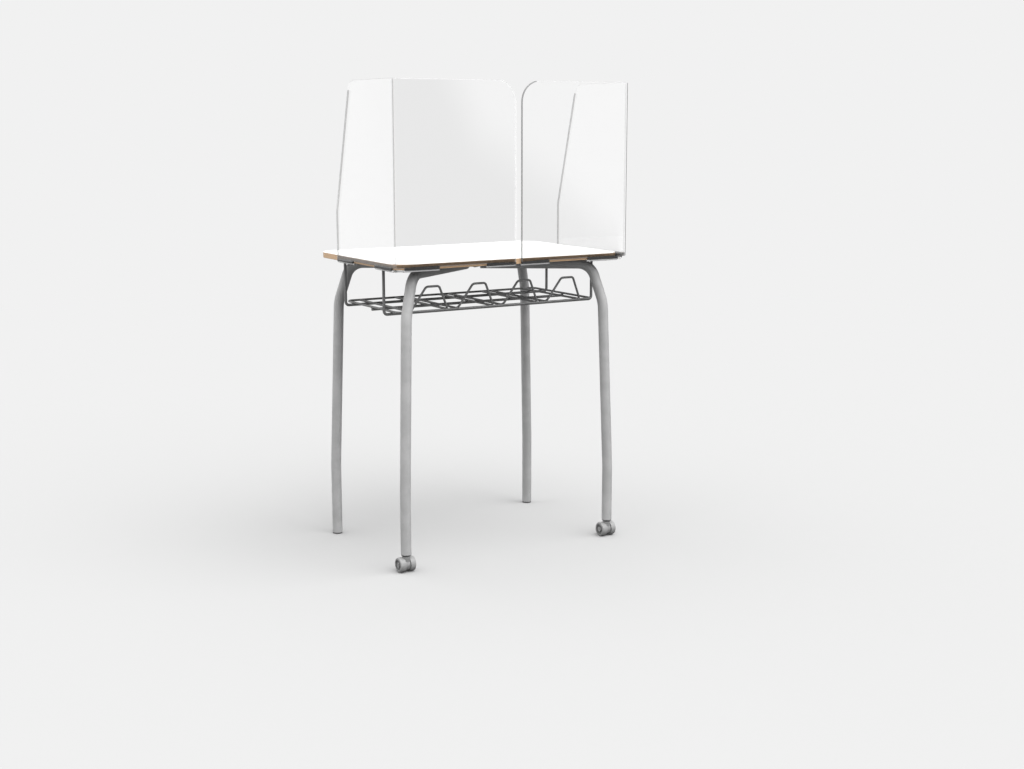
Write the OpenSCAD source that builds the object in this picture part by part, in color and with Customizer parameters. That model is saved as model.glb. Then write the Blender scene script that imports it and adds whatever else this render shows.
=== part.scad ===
// Standing study carrel: a laminated plywood top on four bent tube legs, two clear
// L-shaped screens, a wire book basket and two twin-wheel casters on the back legs.
// Millimetres. +Z is up, the reader stands at -Y, the floor is z = 0.

/* [Top] */
// Width of the top
top_w = 880; // [780:10:1000]
// Depth of the top
top_d = 604; // [580:4:640]
// Height of the work surface above the floor
top_h = 1015; // [960:5:1080]
// Whole thickness of the top
top_t = 19; // [16:0.5:25]
// Radius of the top's corners
corner_r = 70; // [40:5:90]
// Thickness of the laminate above and of the backer below
skin_t = 0.8; // [0.6:0.1:1.2]

/* [Screens] */
// Thickness of the clear sheet
sheet_t = 6; // [4:0.5:8]
// Height of the screens above the work surface
screen_h = 575; // [400:5:650]
// Depth of a side wing at its foot
wing_d = 426; // [360:2:440]
// Height of the wing's upright front edge above the work surface
wing_kink_h = 148; // [100:2:200]
// How far the wing's front edge leans back by the time it reaches the top
wing_lean = 114; // [60:2:160]
// Radius of the back panels' upper corners
panel_r = 70; // [30:5:100]
// Radius of the wings' upper front corners
wing_r = 42; // [20:2:60]
// Gap between the two back panels
screen_gap = 21.5; // [10:0.5:40]
// How far the gap sits off the middle, towards the reader's left
gap_shift = 10.75; // [0:0.25:20]
// How far the fixing tabs reach in under the top
tab_d = 40; // [30:1:50]

/* [Legs] */
// Outside diameter of the leg tube
tube_d = 35; // [30:1:40]
// Wall of the leg tube
tube_wall = 2; // [1.5:0.1:2.5]
// Feet to the left and right of the middle
foot_x = 403.5; // [370:0.5:420]
// Back feet behind the middle
foot_back = 270; // [250:1:275]
// Front feet in front of the middle
foot_front = 264; // [240:1:275]
// Slight inward lean of the long middle stretch, degrees
lean_low = 2.2; // [1:0.1:3]
// Stronger inward lean below the top, degrees
lean_high = 18.3; // [14:0.1:22]
// Bend radius where the leg turns in under the top
leg_bend_r = 60; // [50:1:70]

/* [Casters] */
// Wheel diameter
wheel_d = 50; // [46:1:54]
// Width of one wheel
wheel_w = 19.4; // [16:0.2:22]
// How far the wheels trail behind the stem
trail = 5; // [2:1:8]
// Height of the tube's lower end over a caster
caster_h = 60; // [58:1:64]
// Height of the glide under a front leg
glide_h = 5; // [3:0.5:8]

/* [Basket] */
// Diameter of the hanger frames and the middle rail
frame_wire_d = 9.5; // [8:0.5:10]
// Diameter of the floor wires
floor_wire_d = 7.5; // [6:0.5:8]
// Distance between the hangers at the two ends
hanger_span = 820; // [780:2:824]
// Height of the frames' lower wires above the floor
basket_z = 840; // [820:1:860]
// Back frame behind the middle
frame_back = 150; // [140:1:150]
// Front frame in front of the middle
frame_front = 140; // [130:1:160]
// Width of the rim
rim_w = 766; // [740:2:780]
// Rim's back wire behind the middle
rim_back = 197; // [190:1:205]
// Rim's front wire in front of the middle
rim_front = 190; // [180:1:200]
// Height of the back stops above the floor wires
stop_h = 81.5; // [60:0.5:90]
// Width of a back stop at its foot
stop_w = 138; // [110:1:145]
// Width of a back stop along its top
stop_top_w = 48; // [40:1:70]
// Distance from one back stop to the next
stop_pitch = 176; // [170:1:180]

/* [Part to show] */
// One sub-part by name, or all of them

/* [Hidden] */
$fn = 64;
LEFT = -1;
RIGHT = 1;
FRONT = -1;
BACK = 1;
eps = 1;                                  // how far a cutter runs past a face

laminate_colour = [0.95, 0.95, 0.94];
plywood_colour = [0.80, 0.64, 0.46];
backer_colour = [0.42, 0.35, 0.30];
clear_colour = [0.88, 0.92, 0.93, 0.35];
paint_colour = [0.66, 0.67, 0.68];
wire_colour = [0.33, 0.34, 0.35];
plastic_colour = [0.45, 0.46, 0.47];
wheel_colour = [0.66, 0.66, 0.67];
dark_colour = [0.16, 0.16, 0.17];
steel_colour = [0.70, 0.71, 0.72];

// the top: the outer faces of the screens are centred on the origin, front to back
edge_gap = 2;                             // between the top's edge and a screen
screen_out_x = top_w / 2 + edge_gap + sheet_t;
front_y = -(top_d + edge_gap + sheet_t) / 2;
back_y = front_y + top_d;
screen_out_y = back_y + edge_gap + sheet_t;
under_z = top_h - top_t;                  // underside of the top

// the screens
bend_in_r = edge_gap;                     // inside radius of every bend in the sheet
screen_low_z = top_h - 12;                // lower edge, partway down the top's edge
screen_top_z = top_h + screen_h;
wing_kink_r = 60;
wing_front_y = screen_out_y - wing_d;
corner_tab = [36, 161];                   // a back panel's outer tab, from the outside corner
free_tab_w = 110;                         // a back panel's inner tab, from its free edge
wing_back_tab = [25, 145];                // wing tabs, from the outside back corner
wing_front_tab = [wing_d - 118, wing_d];
tab_screw_gap = 64;                       // between a tab's two screws
tab_screw_in = 22;                        // from the top's edge to a tab's screws

// joints between the straights and the bends of a bar
ring_l = 0.8;
ring_gap = 0.2;
ring_proud = 0.02;

// screws: pan head below, shank up into the plywood
screw_r = 2.2;
screw_clear_r = 2.5;
screw_head_r = 4.6;
screw_head_h = 2.6;
screw_tip_z = top_h - 5;

// a leg's path in its own upright plane: distance inward, then height
tube_r = tube_d / 2;
bore_r = tube_r - tube_wall;
weld_sink = 0.5;                          // how far a plate's seat sinks over the tube
plate_t = 4;
run_z = under_z - plate_t + weld_sink - tube_r;
low_bend_z = 254;
kink_z = 841;
kink_in = (kink_z - low_bend_z) * tan(lean_low);
bend_in = kink_in + (run_z - kink_z) * tan(lean_high);
foot_mid_y = (foot_back - foot_front) / 2;
run_end_gap = 35;                         // from a run's end to the middle of the four legs
low_bend_r = 600;
kink_r = 150;
leg_plate_size = [34, 82];                // along and across the run
leg_plate_in = 165;                       // along the run, from the foot
leg_screw_out = 31;                       // from the run's centre line to a plate's screw
centre_plate_size = [144, 100];
centre_screws = [[58, 0], [-58, 0], [0, 37], [0, -37]];

// casters: the wheel centre, then a stack up to the tube
wheel_r = wheel_d / 2;
wheel_in_x = 9;                           // inner face of a wheel from the caster's middle
body_half_w = 8.5;
axle_r = 3;
spin_clear = 0.05;                        // radial running clearance
pintle_r = 4;
stem_r = 5.5;
stem_collar_r = 8;
stem_collar_h = 3;
socket_lip_h = 3;
socket_l = 35;
body_top_z = caster_h - socket_lip_h - stem_collar_h - 0.4;
pintle_low_z = wheel_r + 8.5;
cap_r = 7.5;
cap_t = 1.4;
glide_plug_l = 20;

// the basket
frame_r = frame_wire_d / 2;
floor_r = floor_wire_d / 2;
floor_z = basket_z + frame_r + floor_r;   // rim and stops lie on the frames
frame_bend_r = 12;
rim_bend_r = 25;
stop_lean = 24;                           // how far a back stop leans back over its height
stop_foot_r = 18;
stop_corner_r = 13;
stop_foot_y = rim_back - floor_wire_d;    // the stops rise just inside the rim's back wire
basket_tab_t = 2.5;
basket_tab_size = [36, 18];
basket_screw_in = 22;                     // from a hanger to its tab's screw

// ---------------------------------------------------------------- helpers

function unit(v) = v / norm(v);

// Angle in degrees between two unit vectors
function turn(a, b) = acos(max(-1, min(1, a * b)));

// Round bar along a path whose inner corners are bent, each to its own radius. A thin ring,
// a hair proud of the bar, bridges each joint between a straight and a bend.
module bar(path, radii, r) {
    last = len(path) - 1;
    dirs = [for (i = [0 : last - 1]) unit(path[i + 1] - path[i])];
    back = [for (i = [0 : last])
        (i == 0 || i == last) ? 0 : radii[i - 1] * tan(turn(dirs[i - 1], dirs[i]) / 2)];
    for (i = [0 : last - 1])
        stick(path[i] + dirs[i] * (back[i] + (i == 0 ? 0 : ring_gap)),
            path[i + 1] - dirs[i] * (back[i + 1] + (i == last - 1 ? 0 : ring_gap)), r);
    for (i = [1 : 1 : last - 1]) {
        bend_from = path[i] - dirs[i - 1] * back[i];
        bend_to = path[i] + dirs[i] * back[i];
        elbow(bend_from, dirs[i - 1], dirs[i], radii[i - 1], r);
        ring(bend_from, dirs[i - 1], r);
        ring(bend_to, dirs[i], r);
    }
}

// Joint ring centred on p, with its axis along d
module ring(p, d, r) {
    stick(p - d * ring_l / 2, p + d * ring_l / 2, r + ring_proud);
}

// Straight round bar from p to q
module stick(p, q, r) {
    w = unit(q - p);
    side = abs(w.z) < 0.9 ? [0, 0, 1] : [1, 0, 0];
    u = unit(cross(side, w));
    v = cross(w, u);
    place(u, v, w, p) cylinder(r = r, h = norm(q - p));
}

// Bent round bar that starts at p and turns from direction a to direction b
module elbow(p, a, b, bend_r, r) {
    inward = unit(b - a * (a * b));
    place(-inward, a, cross(-inward, a), p + inward * bend_r)
        rotate_extrude(angle = turn(a, b))
            translate([bend_r, 0])
                circle(r = r);
}

// Puts its children in a frame with axes u, v, w and origin p
module place(u, v, w, p) {
    multmatrix([
        [u.x, v.x, w.x, p.x],
        [u.y, v.y, w.y, p.y],
        [u.z, v.z, w.z, p.z]
    ]) children();
}

// Convex outline with each corner rounded to its own radius, 0 for a sharp one
module outline(pts, radii) {
    n = len(pts);
    ins = [for (i = [0 : n - 1]) unit(pts[(i + n - 1) % n] - pts[i])];
    outs = [for (i = [0 : n - 1]) unit(pts[(i + 1) % n] - pts[i])];
    cut = [for (i = [0 : n - 1]) radii[i] / tan(turn(ins[i], outs[i]) / 2)];
    polygon([for (i = [0 : n - 1], p = radii[i] == 0
        ? [pts[i]] : [pts[i] + ins[i] * cut[i], pts[i] + outs[i] * cut[i]]) p]);
    for (i = [0 : n - 1])
        if (radii[i] > 0)
            translate(pts[i] + unit(ins[i] + outs[i]) * norm([cut[i], radii[i]]))
                circle(r = radii[i]);
}

// Rectangle centred on the origin with round corners
module round_rect(size, r) {
    a = size / 2;
    outline([[-a.x, -a.y], [a.x, -a.y], [a.x, a.y], [-a.x, a.y]], [r, r, r, r]);
}

// ---------------------------------------------------------------- screws

// A tab's two screw places, measured along the tab from its first end
function tab_screws(span) = let (m = (span[0] + span[1]) / 2)
    [m - tab_screw_gap / 2, m + tab_screw_gap / 2];

// Distance of a back panel's free edge from the middle
function free_edge(side) = screen_gap / 2 - side * gap_shift;

// Tabs of the back panel on one side, as spans of distance from the middle
function panel_tabs(side) = [
    [free_edge(side), free_edge(side) + free_tab_w],
    [screen_out_x - corner_tab[1], screen_out_x - corner_tab[0]]
];

// Tabs of a wing, as spans of y
wing_tabs = [for (t = [wing_back_tab, wing_front_tab]) [screen_out_y - t[1], screen_out_y - t[0]]];

// Screw places of one screen
function screen_screw_places(side) = concat(
    [for (t = panel_tabs(side), x = tab_screws(t)) [side * x, back_y - tab_screw_in]],
    [for (t = wing_tabs, y = tab_screws(t)) [side * (top_w / 2 - tab_screw_in), y]]
);

// Foot of a leg, and the unit vector from it to the middle of the four legs
function foot(side, end) = [side * foot_x, end == BACK ? foot_back : -foot_front];
function inward(side, end) = unit([0, foot_mid_y] - foot(side, end));
function across(side, end) = let (d = inward(side, end)) [-d.y, d.x];

// Screw places of a leg's plate
function leg_screw_places(side, end) = [for (k = [-1, 1])
    foot(side, end) + inward(side, end) * leg_plate_in + across(side, end) * k * leg_screw_out];

// Place of a hanger, and of its tab's screw
function hanger(side, end) = [side * hanger_span / 2, end == BACK ? frame_back : -frame_front];
function basket_screw_place(side, end) = hanger(side, end) - [side * basket_screw_in, 0];

screen_places = [for (side = [LEFT, RIGHT], p = screen_screw_places(side)) p];
leg_places = concat(
    [for (side = [LEFT, RIGHT], end = [FRONT, BACK], p = leg_screw_places(side, end)) p],
    [for (p = centre_screws) p + [0, foot_mid_y]]
);
basket_places = [for (side = [LEFT, RIGHT], end = [FRONT, BACK]) basket_screw_place(side, end)];

// One screw driven up from below, its head against a face at z
module screw(p, z) {
    translate([p.x, p.y, z - screw_head_h]) cylinder(r = screw_head_r, h = screw_head_h);
    translate([p.x, p.y, z]) cylinder(r = screw_r, h = screw_tip_z - z);
}

// Pilot holes for every screw in the top
module pilots() {
    for (p = concat(screen_places, leg_places, basket_places))
        translate([p.x, p.y, under_z - eps]) cylinder(r = screw_r, h = screw_tip_z - under_z + eps);
}

module screen_screws() {
    color(steel_colour)
        for (p = screen_places) screw(p, under_z - sheet_t);
}

module leg_screws() {
    color(steel_colour)
        for (p = leg_places) screw(p, under_z - plate_t);
}

module basket_screws() {
    color(steel_colour)
        for (p = basket_places) screw(p, under_z - basket_tab_t);
}

// ---------------------------------------------------------------- top

module top_layer(z, t) {
    translate([0, (front_y + back_y) / 2, z])
        linear_extrude(t)
            round_rect([top_w, top_d], corner_r);
}

module top_laminate() {
    color(laminate_colour) top_layer(top_h - skin_t, skin_t);
}

module top_core() {
    color(plywood_colour)
        difference() {
            top_layer(under_z + skin_t, top_t - 2 * skin_t);
            pilots();
        }
}

module top_backer() {
    color(backer_colour)
        difference() {
            top_layer(under_z, skin_t);
            pilots();
        }
}

// ---------------------------------------------------------------- screens

// Fixing tab: a riser, a bend and a leaf under the top; +Y is outward, the leaf's top is z = 0
module tab(w) {
    leaf = tab_d - bend_in_r;
    riser = screen_low_z - under_z - bend_in_r + eps;
    translate([0, -leaf, -sheet_t]) cube([w, leaf, sheet_t]);
    translate([w, 0, bend_in_r])
        rotate([-90, 0, 0])
            rotate([0, -90, 0])
                rotate_extrude(angle = 90)
                    translate([bend_in_r, 0])
                        square([sheet_t, w]);
    translate([0, bend_in_r, bend_in_r]) cube([w, sheet_t, riser]);
}

// One L-shaped screen, drawn on the reader's right and mirrored for the left
module screen(side) {
    bend_x = top_w / 2;
    wing_top_y = wing_front_y + wing_lean;
    difference() {
        union() {
            translate([0, screen_out_y, 0])
                rotate([90, 0, 0])
                    linear_extrude(sheet_t)
                        outline([[free_edge(side), screen_low_z], [bend_x, screen_low_z],
                            [bend_x, screen_top_z], [free_edge(side), screen_top_z]],
                            [0, 0, 0, panel_r]);
            translate([screen_out_x - sheet_t, 0, 0])
                rotate([90, 0, 90])
                    linear_extrude(sheet_t)
                        outline([[wing_front_y, screen_low_z], [back_y, screen_low_z],
                            [back_y, screen_top_z], [wing_top_y, screen_top_z],
                            [wing_front_y, top_h + wing_kink_h]],
                            [0, 0, 0, wing_r, wing_kink_r]);
            translate([bend_x, back_y, screen_low_z])
                rotate_extrude(angle = 90)
                    translate([bend_in_r, 0])
                        square([sheet_t, screen_top_z - screen_low_z]);
            for (t = panel_tabs(side))
                translate([t[0], back_y, under_z]) tab(t[1] - t[0]);
            for (t = wing_tabs)
                translate([bend_x, t[1], under_z]) rotate([0, 0, -90]) tab(t[1] - t[0]);
        }
        for (p = screen_screw_places(side))
            translate([side * p.x, p.y, under_z - sheet_t - eps])
                cylinder(r = screw_clear_r, h = sheet_t + 2 * eps);
    }
}

module screen_right() {
    color(clear_colour) screen(RIGHT);
}

module screen_left() {
    color(clear_colour) mirror([1, 0, 0]) screen(LEFT);
}

// ---------------------------------------------------------------- legs

// Puts its children at a foot, turned so that +X runs inward under the top
module at_leg(side, end) {
    d = inward(side, end);
    translate(foot(side, end)) rotate([0, 0, atan2(d.y, d.x)]) children();
}

// The leg's centre line as a bar of radius r, run on past both ends by past
module leg_bar(low_z, r, past = 0) {
    run_end = norm([foot_x, (foot_back + foot_front) / 2]) - run_end_gap;
    bar([[0, 0, low_z - past], [0, 0, low_bend_z], [kink_in, 0, kink_z],
        [bend_in, 0, run_z], [run_end + past, 0, run_z]],
        [low_bend_r, kink_r, leg_bend_r], r);
}

module leg(side, end) {
    low_z = end == BACK ? caster_h : glide_h;
    color(paint_colour)
        at_leg(side, end)
            difference() {
                leg_bar(low_z, tube_r);
                leg_bar(low_z, bore_r, eps);
            }
}

// Plate between a leg's run and the top, seated over the tube
module leg_plate(side, end) {
    color(paint_colour)
        difference() {
            at_leg(side, end)
                translate([leg_plate_in, 0, under_z - plate_t])
                    linear_extrude(plate_t)
                        round_rect(leg_plate_size, 6);
            at_leg(side, end)
                stick([leg_plate_in - 60, 0, run_z], [leg_plate_in + 60, 0, run_z], tube_r);
            plate_holes(leg_screw_places(side, end));
        }
}

module plate_holes(places) {
    for (p = places)
        translate([p.x, p.y, under_z - plate_t - eps])
            cylinder(r = screw_clear_r, h = plate_t + 2 * eps);
}

// Plate that joins the four runs in the middle
module centre_plate() {
    run_end = norm([foot_x, (foot_back + foot_front) / 2]) - run_end_gap;
    color(paint_colour)
        difference() {
            translate([0, foot_mid_y, under_z - plate_t])
                linear_extrude(plate_t)
                    round_rect(centre_plate_size, 10);
            for (side = [LEFT, RIGHT], end = [FRONT, BACK])
                at_leg(side, end)
                    stick([run_end - 90, 0, run_z], [run_end, 0, run_z], tube_r);
            plate_holes([for (p = centre_screws) p + [0, foot_mid_y]]);
        }
}

module leg_back_left() { leg(LEFT, BACK); }
module leg_back_right() { leg(RIGHT, BACK); }
module leg_front_left() { leg(LEFT, FRONT); }
module leg_front_right() { leg(RIGHT, FRONT); }
module leg_plate_back_left() { leg_plate(LEFT, BACK); }
module leg_plate_back_right() { leg_plate(RIGHT, BACK); }
module leg_plate_front_left() { leg_plate(LEFT, FRONT); }
module leg_plate_front_right() { leg_plate(RIGHT, FRONT); }

// Foot pressed into the end of a front leg
module glide(side) {
    pad_r = tube_r - 0.7;
    chamfer = 1;
    color(dark_colour)
        translate(foot(side, FRONT)) {
            cylinder(r1 = pad_r - chamfer, r2 = pad_r, h = chamfer);
            translate([0, 0, chamfer]) cylinder(r = pad_r, h = glide_h - chamfer);
            translate([0, 0, glide_h]) cylinder(r = bore_r, h = glide_plug_l);
        }
}

module glide_left() { glide(LEFT); }
module glide_right() { glide(RIGHT); }

// ---------------------------------------------------------------- casters

// Puts its children on the stem's axis, with the floor at z = 0
module at_caster(side) {
    translate(foot(side, BACK)) children();
}

// Puts its children on the axle, with +Z turned to point along dir * X
module at_axle(side, dir = 1) {
    at_caster(side) translate([0, -trail, wheel_r]) rotate([0, dir * 90, 0]) children();
}

// Sleeve pressed into the tube, with a lip that closes its end
module caster_socket(side) {
    lip_z = caster_h - socket_lip_h;
    color(dark_colour)
        at_caster(side)
            difference() {
                union() {
                    translate([0, 0, lip_z]) cylinder(r = tube_r - 1, h = socket_lip_h);
                    translate([0, 0, caster_h]) cylinder(r = bore_r, h = socket_l);
                }
                translate([0, 0, lip_z - eps])
                    cylinder(r = stem_r, h = socket_lip_h + socket_l + 2 * eps);
            }
}

// Fixed stem: the part in the socket, a collar, and the pintle the caster turns on
module caster_stem(side) {
    collar_z = caster_h - socket_lip_h - stem_collar_h;
    color(steel_colour)
        at_caster(side) {
            translate([0, 0, pintle_low_z]) cylinder(r = pintle_r, h = collar_z - pintle_low_z);
            translate([0, 0, collar_z]) cylinder(r = stem_collar_r, h = stem_collar_h);
            translate([0, 0, collar_z + stem_collar_h])
                cylinder(r = stem_r, h = socket_lip_h + socket_l - 2);
        }
}

// Body between the two wheels, bored for the pintle and for the axle
module caster_body(side) {
    disc_r = wheel_r - 4;
    cap_h = 3;
    neck_low = wheel_r + 2;
    color(plastic_colour)
        difference() {
            union() {
                at_axle(side) cylinder(r = disc_r, h = 2 * body_half_w, center = true);
                at_caster(side) {
                    translate([-body_half_w, -trail - 6, neck_low])
                        cube([2 * body_half_w, 2 * (trail + 6), body_top_z - cap_h - neck_low]);
                    translate([0, 0, body_top_z - cap_h]) cylinder(r = 14, h = cap_h);
                }
            }
            at_caster(side)
                translate([0, 0, pintle_low_z - 1])
                    cylinder(r = pintle_r + spin_clear, h = body_top_z - pintle_low_z + 2);
            at_axle(side) cylinder(r = axle_r, h = 4 * body_half_w, center = true);
        }
}

module caster_axle(side) {
    half = wheel_in_x + wheel_w - cap_t - 0.4;
    color(steel_colour) at_axle(side) cylinder(r = axle_r, h = 2 * half, center = true);
}

// One wheel: crowned tread, a sunk ring in the outer face and a raised hub
module wheel(side, dir) {
    hub_r = 9;
    ring_r = 17.5;
    ring_depth = 3.5;
    shoulder = 3;
    color(wheel_colour)
        at_axle(side, dir)
            translate([0, 0, wheel_in_x])
                difference() {
                    rotate_extrude()
                        outline([[0, 0], [wheel_r, 0], [wheel_r, wheel_w], [0, wheel_w]],
                            [0, shoulder / 2, shoulder, 0]);
                    translate([0, 0, wheel_w - ring_depth])
                        difference() {
                            cylinder(r = ring_r, h = ring_depth + eps);
                            translate([0, 0, -eps]) cylinder(r = hub_r, h = ring_depth + 3 * eps);
                        }
                    translate([0, 0, -eps])
                        cylinder(r = axle_r + spin_clear, h = wheel_w + 2 * eps);
                    translate([0, 0, wheel_w - cap_t]) cylinder(r = cap_r, h = cap_t + eps);
                }
}

// Disc pressed into the hub, over the axle's end
module wheel_cap(side, dir) {
    color(steel_colour)
        at_axle(side, dir)
            translate([0, 0, wheel_in_x + wheel_w - cap_t])
                cylinder(r = cap_r, h = cap_t);
}

module caster_socket_left() { caster_socket(LEFT); }
module caster_socket_right() { caster_socket(RIGHT); }
module caster_stem_left() { caster_stem(LEFT); }
module caster_stem_right() { caster_stem(RIGHT); }
module caster_body_left() { caster_body(LEFT); }
module caster_body_right() { caster_body(RIGHT); }
module caster_axle_left() { caster_axle(LEFT); }
module caster_axle_right() { caster_axle(RIGHT); }
module wheel_left_outer() { wheel(LEFT, -1); }
module wheel_left_inner() { wheel(LEFT, 1); }
module wheel_right_inner() { wheel(RIGHT, -1); }
module wheel_right_outer() { wheel(RIGHT, 1); }
module wheel_cap_left_outer() { wheel_cap(LEFT, -1); }
module wheel_cap_left_inner() { wheel_cap(LEFT, 1); }
module wheel_cap_right_inner() { wheel_cap(RIGHT, -1); }
module wheel_cap_right_outer() { wheel_cap(RIGHT, 1); }

// ---------------------------------------------------------------- basket

// Hanger frame: a long wire with its two ends turned up to the top
module basket_frame(end) {
    a = hanger(RIGHT, end);
    b = hanger(LEFT, end);
    tab_z = under_z - basket_tab_t;
    color(wire_colour)
        bar([[a.x, a.y, tab_z], [a.x, a.y, basket_z], [b.x, b.y, basket_z], [b.x, b.y, tab_z]],
            [frame_bend_r, frame_bend_r], frame_r);
}

module basket_back_frame() { basket_frame(BACK); }
module basket_front_frame() { basket_frame(FRONT); }

module basket_middle_rail() {
    y = (frame_back - frame_front) / 2 + 3;
    half = rim_w / 2 + 2;
    color(wire_colour) stick([-half, y, basket_z], [half, y, basket_z], frame_r);
}

// Closed rim that lies on the frames and the middle rail
module basket_rim() {
    a = rim_w / 2;
    color(wire_colour)
        bar([[0, rim_back, floor_z], [a, rim_back, floor_z], [a, -rim_front, floor_z],
            [-a, -rim_front, floor_z], [-a, rim_back, floor_z], [0, rim_back, floor_z]],
            [rim_bend_r, rim_bend_r, rim_bend_r, rim_bend_r], floor_r);
}

// One floor wire: in from the rim's front, up into a leaning back stop, and back again
module basket_stop(i) {
    mid_x = (i - 2.5) * stop_pitch;
    foot_half = stop_w / 2;
    front = floor_r - rim_front - stop_foot_y;
    color(wire_colour)
        translate([mid_x, stop_foot_y, floor_z])
            for (k = [0, 1])
                mirror([k, 0, 0])
                    bar([[0, stop_lean, stop_h], [stop_top_w / 2, stop_lean, stop_h],
                        [foot_half, 0, 0], [foot_half, front, 0]],
                        [stop_corner_r, stop_foot_r], floor_r);
}

module basket_stop_1() { basket_stop(1); }
module basket_stop_2() { basket_stop(2); }
module basket_stop_3() { basket_stop(3); }
module basket_stop_4() { basket_stop(4); }

// Small plate on a hanger's upper end, screwed to the top
module basket_tab(side, end) {
    p = hanger(side, end) - [side * (basket_tab_size.x / 2 - 7), 0];
    s = basket_screw_place(side, end);
    color(wire_colour)
        difference() {
            translate([p.x, p.y, under_z - basket_tab_t])
                linear_extrude(basket_tab_t)
                    round_rect(basket_tab_size, 4);
            translate([s.x, s.y, under_z - basket_tab_t - eps])
                cylinder(r = screw_clear_r, h = basket_tab_t + 2 * eps);
        }
}

module basket_tab_back_left() { basket_tab(LEFT, BACK); }
module basket_tab_back_right() { basket_tab(RIGHT, BACK); }
module basket_tab_front_left() { basket_tab(LEFT, FRONT); }
module basket_tab_front_right() { basket_tab(RIGHT, FRONT); }

// ---------------------------------------------------------------- drawing

top_laminate();
top_core();
top_backer();
screen_left();
screen_right();
screen_screws();
leg_back_left();
leg_back_right();
leg_front_left();
leg_front_right();
leg_plate_back_left();
leg_plate_back_right();
leg_plate_front_left();
leg_plate_front_right();
centre_plate();
leg_screws();
glide_left();
glide_right();
caster_socket_left();
caster_socket_right();
caster_stem_left();
caster_stem_right();
caster_body_left();
caster_body_right();
caster_axle_left();
caster_axle_right();
wheel_left_outer();
wheel_left_inner();
wheel_right_inner();
wheel_right_outer();
wheel_cap_left_outer();
wheel_cap_left_inner();
wheel_cap_right_inner();
wheel_cap_right_outer();
basket_back_frame();
basket_front_frame();
basket_middle_rail();
basket_rim();
basket_stop_1();
basket_stop_2();
basket_stop_3();
basket_stop_4();
basket_tab_back_left();
basket_tab_back_right();
basket_tab_front_left();
basket_tab_front_right();
basket_screws();
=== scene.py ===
"""Looks of the standing study carrel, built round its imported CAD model.

Metres, in the model's own frame: the reader stands at -Y and looks along +Y, +X is the reader's
right, the floor is z = 0. Every new piece stands for the CAD node it is named after.
"""
import math
import random

import bmesh
import bpy
from mathutils import Matrix, Vector, noise


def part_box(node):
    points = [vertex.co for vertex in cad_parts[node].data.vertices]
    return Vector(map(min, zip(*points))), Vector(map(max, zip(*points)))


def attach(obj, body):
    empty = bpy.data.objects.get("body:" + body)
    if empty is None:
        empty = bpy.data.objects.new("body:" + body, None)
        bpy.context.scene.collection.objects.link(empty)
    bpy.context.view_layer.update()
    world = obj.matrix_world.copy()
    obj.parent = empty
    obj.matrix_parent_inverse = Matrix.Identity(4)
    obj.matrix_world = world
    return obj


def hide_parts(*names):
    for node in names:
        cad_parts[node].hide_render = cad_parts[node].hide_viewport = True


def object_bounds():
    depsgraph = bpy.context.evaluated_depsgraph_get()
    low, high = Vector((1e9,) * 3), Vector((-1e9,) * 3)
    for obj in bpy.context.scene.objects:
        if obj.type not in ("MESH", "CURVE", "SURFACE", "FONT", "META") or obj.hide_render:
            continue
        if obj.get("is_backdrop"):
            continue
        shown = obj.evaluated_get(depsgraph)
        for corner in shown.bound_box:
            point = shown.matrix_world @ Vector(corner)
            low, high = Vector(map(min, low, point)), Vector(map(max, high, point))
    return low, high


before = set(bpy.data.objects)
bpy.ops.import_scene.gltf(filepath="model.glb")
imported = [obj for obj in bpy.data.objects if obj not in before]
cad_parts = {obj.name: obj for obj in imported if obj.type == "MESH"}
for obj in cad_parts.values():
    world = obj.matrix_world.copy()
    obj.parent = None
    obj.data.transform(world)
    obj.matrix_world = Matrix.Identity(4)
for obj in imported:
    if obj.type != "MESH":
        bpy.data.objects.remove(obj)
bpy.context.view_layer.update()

rng = random.Random(7)
MM = 0.001

# ---------------------------------------------------------------- stage: camera, light, floor

CAMERA_AT = Vector((2.474, 4.278, 1.450))
CAMERA_LOOK = Vector((-0.5175, -0.8365, -0.1800))
BACKGROUND = 0.880

camera_data = bpy.data.cameras.new("camera")
camera_data.lens = 50
camera_data.sensor_width = 36
camera = bpy.data.objects.new("camera", camera_data)
camera.location = CAMERA_AT
camera.rotation_mode = "QUATERNION"
camera.rotation_quaternion = CAMERA_LOOK.to_track_quat("-Z", "Y")
bpy.context.collection.objects.link(camera)
bpy.context.scene.camera = camera
bpy.context.scene.view_settings.view_transform = "Standard"
bpy.context.scene.view_settings.look = "None"


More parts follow.
